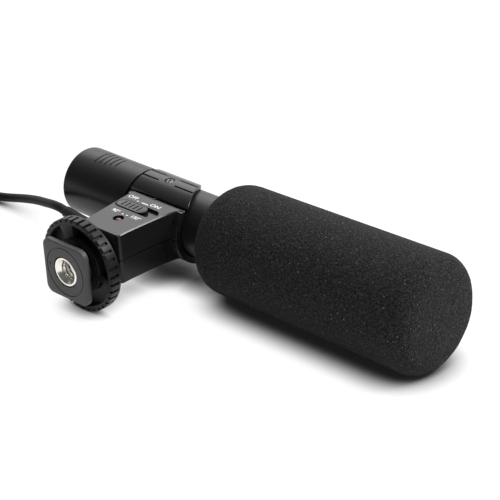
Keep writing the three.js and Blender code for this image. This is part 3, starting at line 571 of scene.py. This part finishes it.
def tail_sleeve():
    """Cup over the battery with a small round at its end, a chamfered mouth and five grip slots."""
    radius, end_round, wall_end = 11.2, 1.2, -40.8
    profile = arc((radius - end_round, wall_end), end_round, -86, 0, 8)
    profile += [(radius, -13.95), (11.05, -13.8), (9.95, -13.8), (9.75, -14.0), (9.75, -39.5)]
    piece = turned("sleeve", profile, TUBE, 192)
    first_slot, slot_step, half_width, slot_floor = -32.9, 2.1, 0.25, 10.6
    tools = []
    for i, half_angle in enumerate([19.7, 18.6, 17.4, 15.6, 13.4]):
        rear = first_slot + slot_step * i - half_width
        front = first_slot + slot_step * i + half_width
        tools.append(sector(slot_floor, 12.5, rear, front, half_angle))
    less(piece, joined(*tools))
    finished(piece, BLACK_TUBE, HEAD, "battery_sleeve", ["tail_sleeve"])


# Outlines of the arm and of the hollow in it, in (x, distance along the arm). The arm's right
# side flares out to the tube.
ARM_OUTLINE = [
    (-10.9, ARM_START),
    (12.4, ARM_START),
    (12.4, 8.5),
    (10.75, 9.0),
    (10.1, 10.2),
    (9.6, 12.0),
    (9.15, 14.4),
    (8.8, 17.6),
    (8.5, 21.0),
    (8.2, 25.0),
    (7.95, 28.5),
    (7.95, ARM_END),
    (-8.5, ARM_END),
]
CAVITY = [(-8.9, 13), (7.4, 13), (6.4, 30.9), (-6.4, 30.9)]


def arm_shell(name, start, seam, face):
    """One half of the arm with round corners at the foot and a chamfer along its outer edge."""
    foot_round, chamfer = 1.4, 0.34
    low, high = sorted((seam, face))
    outline = [(x, start if along == ARM_START else along) for x, along in ARM_OUTLINE]
    piece = plan_block(name, outline, low, high)

    def upright_at_foot(corners):
        upright = abs(corners[0].z - corners[1].z) > 1
        return upright and all(corner.y < NEAR - ARM_END for corner in corners)

    def round_the_face(corners):
        on_face = all(abs(corner.z - face) < NEAR for corner in corners)
        return on_face and min(corner.y for corner in corners) < -start - NEAR

    open_with(piece, "EDGE", upright_at_foot)
    bpy.ops.mesh.bevel(offset=foot_round, segments=8, affect="EDGES")
    close()
    open_with(piece, "EDGE", round_the_face)
    bpy.ops.mesh.bevel(offset=chamfer, segments=1, affect="EDGES")
    close()
    return piece


def collar(low, high, side):
    """Part of the ring round the tube, between two heights, from a distance along the arm on."""
    radius, rear, front = 12.5, -11.4, 12.4
    ring = pin(radius, rear, front, TUBE, sides=192)
    soft_edges(ring, 0.12)
    return shared(ring, block((-20, -20, low), (20, -side, high)))


def arm_upper():
    """Upper half with its face, the switch's slot, the lamp's hole and a tab at the saddle."""
    slot_half, slot_floor, lamp_hole = 2.55, 7.51, 1.8
    piece = arm_shell("arm_face", ARM_START, UPPER_SEAM, ARM_FACE)
    plus(piece, collar(UPPER_SEAM, 8.2, 7.9))
    less(
        piece,
        pin(ARM_BORE, -25, 25, TUBE, sides=192),
        plan_block("cavity", CAVITY, -3, CAVITY_HEIGHT),
        slot_tool(-9.55, 7.8, SWITCH_ALONG, slot_half, slot_floor, 12, 64),
        block((-4.5, -16.8, 5), (2.7, -14.8, 10)),
        pin(lamp_hole, 5, 12, at=LAMP_PLACE),
        pin(NECK_HOLE, 28, 36, ARM),
        pin(RELIEF_HOLE, -3.2, 3, RELIEF),
    )
    plus(piece, block((-1.5, -8.2, 6.9), (-0.6, -7.33, 8.6)))
    finished(piece, BLACK_SHELL, HEAD, "microphone", ["arm_upper"])


def arm_lower():
    """Lower half with the cradle round the tube and two screw bosses."""
    boss, boss_foot, hole, recess, recess_floor = 2.2, -7.5, 1.2, 1.85, -6.91
    piece = arm_shell("arm_underside", 0.5, LOWER_SEAM, -ARM_FACE)
    plus(piece, collar(-20, LOWER_SEAM, -20))
    less(
        piece,
        pin(ARM_BORE, -25, 25, TUBE, sides=192),
        plan_block("cavity", CAVITY, -CAVITY_HEIGHT, 3),
        pin(NECK_HOLE, 28, 36, ARM),
        pin(RELIEF_HOLE, -3.2, 3, RELIEF),
    )
    for x in SHELL_SCREWS:
        at = (x, -SHELL_SCREWS_ALONG, 0)
        plus(piece, pin(boss, boss_foot, LOWER_SEAM, at=at))
        less(piece, pin(hole, -12, 2, at=at), pin(recess, -12, recess_floor, at=at))
    finished(piece, BLACK_SHELL, HEAD, "microphone", ["arm_lower"])


def shell_screw():
    """The screw that follows the arm's right side in. The other one is the part's own."""
    place = Matrix.Translation((SHELL_SCREWS[1], -SHELL_SCREWS_ALONG, 0))
    profile = [(0.9, 4.2), (0.9, -7.1), (1.5, -7.1), (1.6, -7.2), (1.6, -8.2), (1.4, -8.4)]
    piece = turned("shell_screw", profile, UP, 40)
    less(piece, block((-1, -0.2, -9), (1, 0.2, -8)), block((-0.2, -1, -9), (0.2, 1, -8)))
    moved(piece, place)
    finished(piece, DARK_SCREW, HEAD, "microphone", ["shell_screw_right"])


# Plan of the saddle, in (x, distance along the arm): its front edge sweeps back over the tube
SADDLE_OUTLINE = [
    (-20, 7.3),
    (13.1, 7.3),
    (10.2, 1.4),
    (9.1, -0.8),
    (8.35, -2.5),
    (7.5, -4.1),
    (6.4, -5.6),
    (4.9, -7.0),
    (2.5, -8.6),
    (-1, -13),
    (-20, -13),
]


def saddle():
    """Cover over the tube, with its front edge swept back, four grooves and the recess and hole of
    a sunk screw.
    """
    radius, rear, front = 11.65, -12.4, 15
    profile = [(ARM_BORE, rear), (11.45, rear), (radius, -12.2), (radius, front)]
    profile += [(ARM_BORE, front), (ARM_BORE, rear)]
    piece = turned("saddle", profile, TUBE, 256)
    shared(piece, plan_block("plan", SADDLE_OUTLINE, UPPER_SEAM, 15))
    # The cut leaves slivers along the swept edge, which are merged away before it is softened
    open_with(piece, "VERT", lambda corners: True)
    bpy.ops.mesh.remove_doubles(threshold=0.05)
    close()
    soft_edges(piece, 0.25, 1, 50)
    floor, half_width = 11.05, 0.33
    for groove_rear, groove_front, lean in (
        (-13.1, -5.4, -11),
        (-12.9, -5.2, 8.5),
        (0.5, 8.3, -11),
        (1.8, 10.2, 8.5),
    ):
        tool = slot_tool(groove_rear, groove_front, 0, half_width, floor, 14, 24)
        less(piece, moved(tool, Matrix.Rotation(math.radians(lean), 4, "X")))
    at = (CLAMP_X, 0, 0)
    recess, recess_floor = 1.65, 10.85
    less(piece, pin(recess, recess_floor, 14, at=at), pin(CLAMP_HOLE, 0, 14, at=at))
    finished(piece, BLACK_SHELL, HEAD, "microphone", ["saddle_cover"])


def clamp_screw():
    """Screw with a cross in its head, turned a little out of line."""
    profile = [(0.8, 8.9), (0.8, 11.0), (1.25, 11.0), (1.35, 11.1), (1.35, 11.35), (1.2, 11.5)]
    piece = turned("clamp", profile, UP, 48)
    less(piece, block((-2, -0.2, 11.2), (2, 0.2, 13)), block((-0.2, -2, 11.2), (0.2, 2, 13)))
    moved(piece, Matrix.Translation((CLAMP_X, 0, 0)) @ Matrix.Rotation(math.radians(25), 4, "Z"))
    finished(piece, DARK_SCREW, HEAD, "microphone", ["clamp_screw"])


def shoe_foot():
    """Plate with round corners on a threaded post, with a shallow ring groove and a pip."""
    half_width, half_height, back, corner_round = 9.3, 9.375, 45.7, 2.8
    low, high = (-half_width, -PLATE_FACE, -half_height), (half_width, -back, half_height)
    plate = block(low, high, "foot")
    open_with(plate, "EDGE", lambda corners: abs(corners[0].y - corners[1].y) > 1)
    bpy.ops.mesh.bevel(offset=corner_round, segments=12, affect="EDGES")
    close()
    soft_edges(plate, 0.35, 3, 60)
    post_radius = 6.0
    profile = [(5.9, 28.5), (5.9, 30.6), (4.8, 30.6), (4.8, 32.8), (5.6, 32.8)]
    profile += [(post_radius, 33.2), (post_radius, 46.5)]
    plus(plate, turned("post", profile, ARM, 96))
    inner, outer, floor, past = 7.75, 8.1, PLATE_FACE - 0.2, 49
    groove = [(inner, floor), (outer, floor), (outer, past), (inner, past), (inner, floor)]
    less(plate, turned("groove", groove, ARM, 96), pin(5.05, 39.8, 50, ARM, sides=96))
    pip, pip_top, pip_place = 0.5, PLATE_FACE + 0.15, (-6.95, 0, 0.7)
    plus(plate, pin(pip, floor, pip_top, ARM, at=pip_place, sides=24))
    ridge = thread("post_thread", 5.95, 0.3, 1.25, 33.4, 45.6, ARM)
    joined(plate, ridge)
    finished(plate, FOOT_BLACK, HEAD, "microphone", ["shoe_foot"])


def threaded_insert():
    """Bush with a chamfered mouth and a cut thread of a quarter inch."""
    bore, radius, back, front = 3.1, 4.75, 40.1, 47.6
    profile = [(bore, back), (radius, back), (radius, 47.45), (4.6, front), (4.1, front)]
    profile += [(bore, 46.3), (bore, back)]
    piece = turned("insert", profile, ARM, 96)
    joined(piece, thread("insert_thread", bore, 0.3, 1.27, 40.7, 45.9, ARM))
    finished(piece, NICKEL, HEAD, "microphone", ["threaded_insert"])


def lock_wheel():
    """Grooved rim with a thin lip at the back, web, hub and three spokes."""
    bore, hub_radius, rim_inner = 6.4, 9.0, 13.4
    profile = [(bore, WHEEL_BACK), (14.85, WHEEL_BACK), (15.0, 38.75), (15.0, 39.4)]
    profile += [(WHEEL_RADIUS, 39.4), (WHEEL_RADIUS, 42.35), (14.95, WHEEL_FRONT)]
    profile += [(13.55, WHEEL_FRONT), (rim_inner, 42.45), (rim_inner, WHEEL_FLOOR)]
    profile += [(hub_radius, WHEEL_FLOOR), (hub_radius, 41.85), (8.85, 42.0)]
    profile += [(bore, 42.0), (bore, WHEEL_BACK)]
    piece = turned("wheel", profile, ARM, 216)
    grooves, first, half_width = 36, -3, 0.5
    tools = []
    for i in range(grooves):
        tool = block((14.3, -44, -half_width), (17, -39.4, half_width))
        turn = first - 360 / grooves * i
        tools.append(moved(tool, Matrix.Rotation(math.radians(turn), 4, "Y")))
    less(piece, joined(*tools))
    soft_edges(piece, 0.18, 3, 50)
    for lean, hub_width, rim_width in ((110, 3.4, 6.6), (230, 2, 2), (350, 2, 2)):
        rib = block((8.5, -42.0, -hub_width / 2), (13.9, -39.2, hub_width / 2))
        open_with(rib, "VERT", lambda corners: corners[0].x > 13)
        widening = (1, 1, rim_width / hub_width)
        bpy.ops.transform.resize(value=widening, center_override=(0, 0, 0))
        close()
        soft_edges(rib, 0.15, 2)
        plus(piece, moved(rib, Matrix.Rotation(math.radians(-lean), 4, "Y")))
    finished(piece, BLACK_PART, HEAD, "wheel", ["lock_wheel"])


def switch_knob():
    """Long button with five grooves across it, on a stem that reaches into the arm."""
    rear, front, half_width, foot, top = -9.25, 3.1, 2.25, 7.81, 8.6
    piece = slot_tool(rear, front, SWITCH_ALONG, half_width, foot, top, 64)
    piece.name = "knob"
    soft_edges(piece, 0.22, 3, 60)
    middle, step, groove_reach, groove_half, groove_floor = -3.1, 1.75, 1.45, 0.28, 8.3
    for i in range(5):
        tool = slot_tool(-groove_reach, groove_reach, 0, groove_half, groove_floor, 10, 24)
        place = Matrix.Translation((middle + (i - 2) * step, -SWITCH_ALONG, 0))
        less(piece, moved(tool, place @ Matrix.Rotation(math.pi / 2, 4, "Z")))
    plus(piece, block((-4.2, -16.5, 4.71), (-2.0, -15.1, 8.0)))
    finished(piece, BLACK_SHELL, HEAD, "switch", ["switch_knob"])


def power_lamp():
    """Round-topped red lamp, sunk in its hole."""
    radius, shoulder = 1.5, 6.75
    profile = [(radius, 1.81), (radius, shoulder)] + arc((0, shoulder), radius, 8, 84, 10)
    piece = moved(turned("lamp", profile, UP, 48), Matrix.Translation(LAMP_PLACE))
    finished(piece, RED_LENS, HEAD, "microphone", ["power_lamp"], smooth=40)


def strain_relief():
    """Tapered boot with a bead at the arm, and a flange inside it."""
    profile = [(2.9, -3.7), (2.9, -2.9), (2.4, -2.9), (2.4, 1.6), (2.25, 1.9), (2.25, 2.3)]
    profile += [(2.4, 2.6), (2.4, 3.4), (2.3, 5), (2.12, 12), (1.95, 18), (1.87, 21.4)]
    profile += [(1.7, RELIEF_LENGTH)]
    piece = turned("boot", profile, RELIEF, 64)
    return finished(piece, BLACK_RUBBER, HEAD, "microphone", ["strain_relief"])


# The lead's line: the part's own list, with a first point inside the strain relief
LEAD = [
    (-28.9, -19.93, 16.36),
    (-31.12, -19.54, 16.39),
    (-34.07, -19.02, 16.43),
    (-37.8, -18.05, 15.85),
    (-42.2, -16.3, 14.5),
    (-47.2, -14.3, 12.85),
    (-52.3, -12.3, 11.2),
    (-57.4, -10.4, 9.45),
    (-62.5, -8.7, 7.65),
    (-67.6, -7.35, 5.9),
    (-72.5, -6.5, 4.3),
    (-77.2, -6.2, 3.0),
    (-81.6, -6.4, 2.15),
    (-85.6, -6.95, 1.7),
    (-88.9, -7.5, 1.53),
    (-91.7, -7.8, 1.5),
]

# The lead's radius, its coil on the table, and where the plug starts and lies
CORD_RADIUS = 1.5
COIL_CENTRE = (-98.2, -26)
COIL_RADIUS = 18.2
COIL_STEP = 3.6
COIL_TOP = 5
PLUG_START = COIL_CENTRE[0] + 16.3
PLUG_LINE = (COIL_CENTRE[1] - COIL_RADIUS, 3.5)


def smooth(share):
    """A share from 0 to 1 with a soft start and end."""
    return share * share * (3 - 2 * share)


def coil_points():
    """Winds in on the table, climbs in the half turn where it reverses, and winds out on top."""
    x, y = COIL_CENTRE
    plug_y, plug_height = PLUG_LINE
    points = [(x + 3.2, y + COIL_RADIUS, CORD_RADIUS)]
    turns, steps, climb_start, climb_end = 3.5, 24, 1.5, 2
    for i in range(int(turns * steps) + 1):
        turn = i / steps
        climbed = min(max((turn - climb_start) / (climb_end - climb_start), 0), 1)
        inward = min(turn, climb_start) - max(turn - climb_end, 0)
        radius = COIL_RADIUS - COIL_STEP * (inward + climbed * (1 - climbed) * 0.5)
        angle = math.pi / 2 + turn * math.tau
        height = CORD_RADIUS + (COIL_TOP - CORD_RADIUS) * smooth(climbed)
        points.append((x + radius * math.cos(angle), y + radius * math.sin(angle), height))
    out_steps, out_length = 6, 12.8
    for i in range(1, out_steps + 1):
        share = i / out_steps
        height = COIL_TOP - (COIL_TOP - plug_height) * smooth(share)
        points.append((x + out_length * share, plug_y, height))
    points += [(x + 16, plug_y, plug_height), (x + 18, plug_y, plug_height)]
    return points


def cord(relief, plug):
    """The lead, from inside the strain relief to inside the plug, as a round curve."""
    curve = bpy.data.curves.new("cord", "CURVE")
    curve.dimensions = "3D"
    curve.resolution_u = 6
    curve.bevel_depth = CORD_RADIUS * MM
    curve.bevel_resolution = 6
    curve.use_fill_caps = True
    points = [LEVEL @ Vector(point) for point in LEAD + coil_points()]
    spline = curve.splines.new("BEZIER")
    spline.bezier_points.add(len(points) - 1)
    for bezier, point in zip(spline.bezier_points, points):
        bezier.co = point
        bezier.handle_left_type = bezier.handle_right_type = "AUTO"
    curve.materials.append(BLACK_RUBBER)
    piece = bpy.data.objects.new("cord", curve)
    scene.collection.objects.link(piece)
    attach(piece, "microphone")
    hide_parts("lead", "lead_coil")


def plug():
    """Moulded grip with rings, and a jack pin with two insulating rings."""
    place = LEVEL @ Matrix.Translation((PLUG_START, *PLUG_LINE)) @ TUBE
    outer, inner, end = 3.5, 3.2, 20
    profile = [(2.3, 0), (2.6, 0.3), (3.3, 4.6), (outer, 6)]
    first_ring, ring_step = 7.5, 1.7
    for i in range(5):
        ring = first_ring + ring_step * i
        profile += [(outer, ring), (inner, ring + 0.15), (inner, ring + 0.75), (outer, ring + 0.9)]
    profile += [(outer, 19.6), (inner, end), (2.05, end), (2.05, 17)]
    grip = turned("grip", profile, UP, 64)
    grip = finished(grip, BLACK_RUBBER, place, "microphone", ["plug_grip"])
    radius, sunk = 1.75, 1.6
    profile = [(radius, 17.3)]
    for ring in (23.9, 27):
        profile += [(radius, ring), (sunk, ring + 0.02), (sunk, ring + 0.48), (radius, ring + 0.5)]
    profile += [(radius, 30.3), (1.26, 31), (1.3, 31.2), (radius, 31.9), (1.5, 32.9), (0.5, 34)]
    jack = turned("jack", profile, UP, 48)
    jack = finished(jack, NICKEL, place, "microphone", ["plug_pin"])
    return grip, jack


# The printed marks stand between these heights, a hair above the arm's face
INK_FOOT = ARM_FACE - 0.004
INK_TOP = ARM_FACE + 0.012


def printed(body, x, along, size, stretch):
    """White lettering on the arm's face, at the middle of the word."""
    deselect()
    bpy.ops.object.text_add()
    words = bpy.context.object
    words.data.body = body
    words.data.size = size
    words.data.align_x = "CENTER"
    words.data.align_y = "CENTER"
    words.data.offset = 0.022 * size
    words.data.extrude = (INK_TOP - INK_FOOT) / 2
    bpy.ops.object.convert(target="MESH")
    place = Matrix.Translation((x, -along, (INK_FOOT + INK_TOP) / 2))
    return moved(words, place @ Matrix.Diagonal((stretch, 1, 1, 1)))


def marks():
    """The switch's OFF and ON with a dot and a dash, and the two angles with their dots."""
    pieces = [
        printed("OFF", -7.3, 11.1, 2.2, 1.05),
        printed("ON", 2.8, 11.4, 2.2, 1.2),
        printed("90°", -5.1, 20.8, 2.05, 1.05),
        printed("120°", 3.4, 20.6, 2.05, 1.05),
        slot_tool(-4.6, -3.9, 12.1, 0.3, INK_FOOT, INK_TOP, 16),
        slot_tool(-2.5, 0.4, 12.1, 0.26, INK_FOOT, INK_TOP, 16),
        slot_tool(-2.1, -1.4, 21.1, 0.33, INK_FOOT, INK_TOP, 16),
        slot_tool(-0.3, 0.4, 21.0, 0.33, INK_FOOT, INK_TOP, 16),
    ]
    piece = joined(*pieces)
    piece.name = "marks"
    open_with(piece, "VERT", lambda corners: True)
    bpy.ops.mesh.remove_doubles(threshold=MERGE)
    close()
    finished(piece, WHITE_INK, HEAD, "microphone", smooth=30)


# The part's own meshes that stay as they are, and their materials
KEPT = {
    "front_cap": BLACK_PART,
    "capsule_holder": BLACK_RUBBER,
    "capsule_left": BARE_METAL,
    "capsule_right": BARE_METAL,
    "battery_holder": BLACK_PART,
    "battery_cell": CELL_WRAP,
    "contact_spring": BRIGHT_STEEL,
    "contact_plate": BRIGHT_STEEL,
    "shell_screw_left": DARK_SCREW,
    "lock_washer": BLACK_RUBBER,
    "switch_body": BLACK_PART,
    "circuit_board": GREEN_BOARD,
}

# The point that every lamp is turned towards, in metres
LAMP_AIM = Vector((0, 0, 0.015))


def lamp(name, at, size, radiance):
    """Soft lamp of a given brightness per area, turned towards the microphone."""
    data = bpy.data.lights.new(name, "AREA")
    data.shape = "RECTANGLE"
    data.size, data.size_y = size
    data.energy = radiance * math.pi * size[0] * size[1]
    item = bpy.data.objects.new(name, data)
    item.location = at
    item.rotation_euler = (LAMP_AIM - Vector(at)).to_track_quat("-Z", "Y").to_euler()
    scene.collection.objects.link(item)


def stage_node(tree, kind, settings, *inputs):
    """A node of the world or the floor, with its inputs in order: sockets or plain values."""
    made = tree.nodes.new(kind)
    for name, value in settings.items():
        setattr(made, name, value)
    for socket, value in zip(made.inputs, inputs):
        if isinstance(value, bpy.types.NodeSocket):
            tree.links.new(value, socket)
        else:
            socket.default_value = value
    return made.outputs


def stage_out(tree, kind):
    return tree.nodes.new(kind).inputs[0]


def seen_directly(tree, camera, mirrored):
    """A sum of two values, for the camera's rays and for those of a reflection or of glass."""
    path = stage_node(tree, "ShaderNodeLightPath", {})
    names = {"Is Camera Ray": camera, "Is Glossy Ray": mirrored, "Is Transmission Ray": mirrored}
    total = 0.0
    for name, value in names.items():
        inputs = (path[name], value, total)
        total = stage_node(tree, "ShaderNodeMath", {"operation": "MULTIPLY_ADD"}, *inputs)[0]
    return total


def make_world():
    """White for the camera. The light falls off towards the camera's own side of the room."""
    far_light, near_light, more_when_mirrored = 0.62, 0.06, 0.6
    world = bpy.data.worlds.new("studio")
    scene.world = world
    world.use_nodes = True
    tree = world.node_tree
    tree.nodes.clear()
    way = stage_node(tree, "ShaderNodeTexCoord", {})["Generated"]
    dot = {"operation": "DOT_PRODUCT"}
    nearness = stage_node(tree, "ShaderNodeVectorMath", dot, way, (-0.1, -0.95, 0.3))["Value"]
    span = (nearness, -0.1, 0.75, far_light, near_light)
    light = stage_node(tree, "ShaderNodeMapRange", SMOOTH_RAMP, *span)[0]
    more = seen_directly(tree, 0.0, more_when_mirrored)
    gain = stage_node(tree, "ShaderNodeMath", {"operation": "ADD"}, more, 1.0)[0]
    light = stage_node(tree, "ShaderNodeMath", {"operation": "MULTIPLY"}, light, gain)[0]
    white = seen_directly(tree, 1.0, 0.0)
    shown = stage_node(tree, "ShaderNodeMath", {"operation": "MAXIMUM"}, white, light)[0]
    background = stage_node(tree, "ShaderNodeBackground", {}, (1, 1, 1, 1), shown)
    tree.links.new(background[0], stage_out(tree, "ShaderNodeOutputWorld"))


def make_floor():
    """Pale floor that reads white, but for painted soft shade under and round the microphone."""
    paleness, shade_reach = 0.85, 0.013
    deselect()
    bpy.ops.mesh.primitive_plane_add(size=12, location=(0, 0, -0.00005))
    floor = bpy.context.object
    floor.name = "floor"
    material = bpy.data.materials.new("floor")
    material.use_nodes = True
    tree = material.node_tree
    tree.nodes.clear()
    matt = stage_node(tree, "ShaderNodeBsdfDiffuse", {}, (paleness, paleness, paleness, 1))
    close_by = ((1, 1, 1, 1), shade_reach)
    open_share = stage_node(tree, "ShaderNodeAmbientOcclusion", {"samples": 32}, *close_by)["AO"]
    # Painted light and shade by place on the floor: whiter in under the arm, as if light from the
    # front reached in there, and darker under the tube
    place = stage_node(tree, "ShaderNodeTexCoord", {})["Object"]
    x, y = stage_node(tree, "ShaderNodeSeparateXYZ", {}, place)[:2]
    beside = stage_node(tree, "ShaderNodeMapRange", {}, x, -0.022, -0.014, 1.0, 0.0)[0]
    painted_light_and_shade = stage_node(tree, "ShaderNodeMapRange", {}, y, -0.003, 0.012, 0.12, -0.16)[0]
    sum_of = {"operation": "MULTIPLY_ADD"}
    open_share = stage_node(tree, "ShaderNodeMath", sum_of, beside, painted_light_and_shade, open_share)[0]
    # From the share of the sky that a place sees, with the painted light and shade added, to how
    # white it is: a painted contact shadow in the floor's glow
    span = (open_share, 0.22, 0.86, 0.01, 1.12)
    white = stage_node(tree, "ShaderNodeMapRange", SMOOTH_RAMP, *span)[0]
    # The floor's glow carries the painted shadow, for the camera and for reflections
    painted_shadow_glow = stage_node(tree, "ShaderNodeEmission", {}, (1, 1, 1, 1), white)
    shown = seen_directly(tree, 0.85, 0.85)
    both = stage_node(tree, "ShaderNodeMixShader", {}, shown, matt[0], painted_shadow_glow[0])
    tree.links.new(both[0], stage_out(tree, "ShaderNodeOutputMaterial"))
    floor.data.materials.append(material)


def make_lights():
    """Two large soft lamps above and behind, and two small ones for the edges' bright lines."""
    scene.view_settings.view_transform = "Standard"
    make_world()
    make_floor()
    lamp("top", (-0.1, 0.25, 0.9), (1.0, 0.8), 1.4)
    lamp("back", (-0.65, 0.65, 0.6), (0.8, 0.5), 1.8)
    lamp("rim", (0.57, 0.55, 0.76), (0.28, 0.28), 30)
    lamp("side", (0.3, -0.3, 0.91), (0.2, 0.2), 14)


make_camera()
foam()
barrel()
tail_sleeve()
arm_upper()
arm_lower()
saddle()
clamp_screw()
shell_screw()
shoe_foot()
threaded_insert()
lock_wheel()
switch_knob()
power_lamp()
cord(strain_relief(), plug())
marks()
for name, material in KEPT.items():
    nodes[name].data.materials.clear()
    nodes[name].data.materials.append(material)
make_lights()
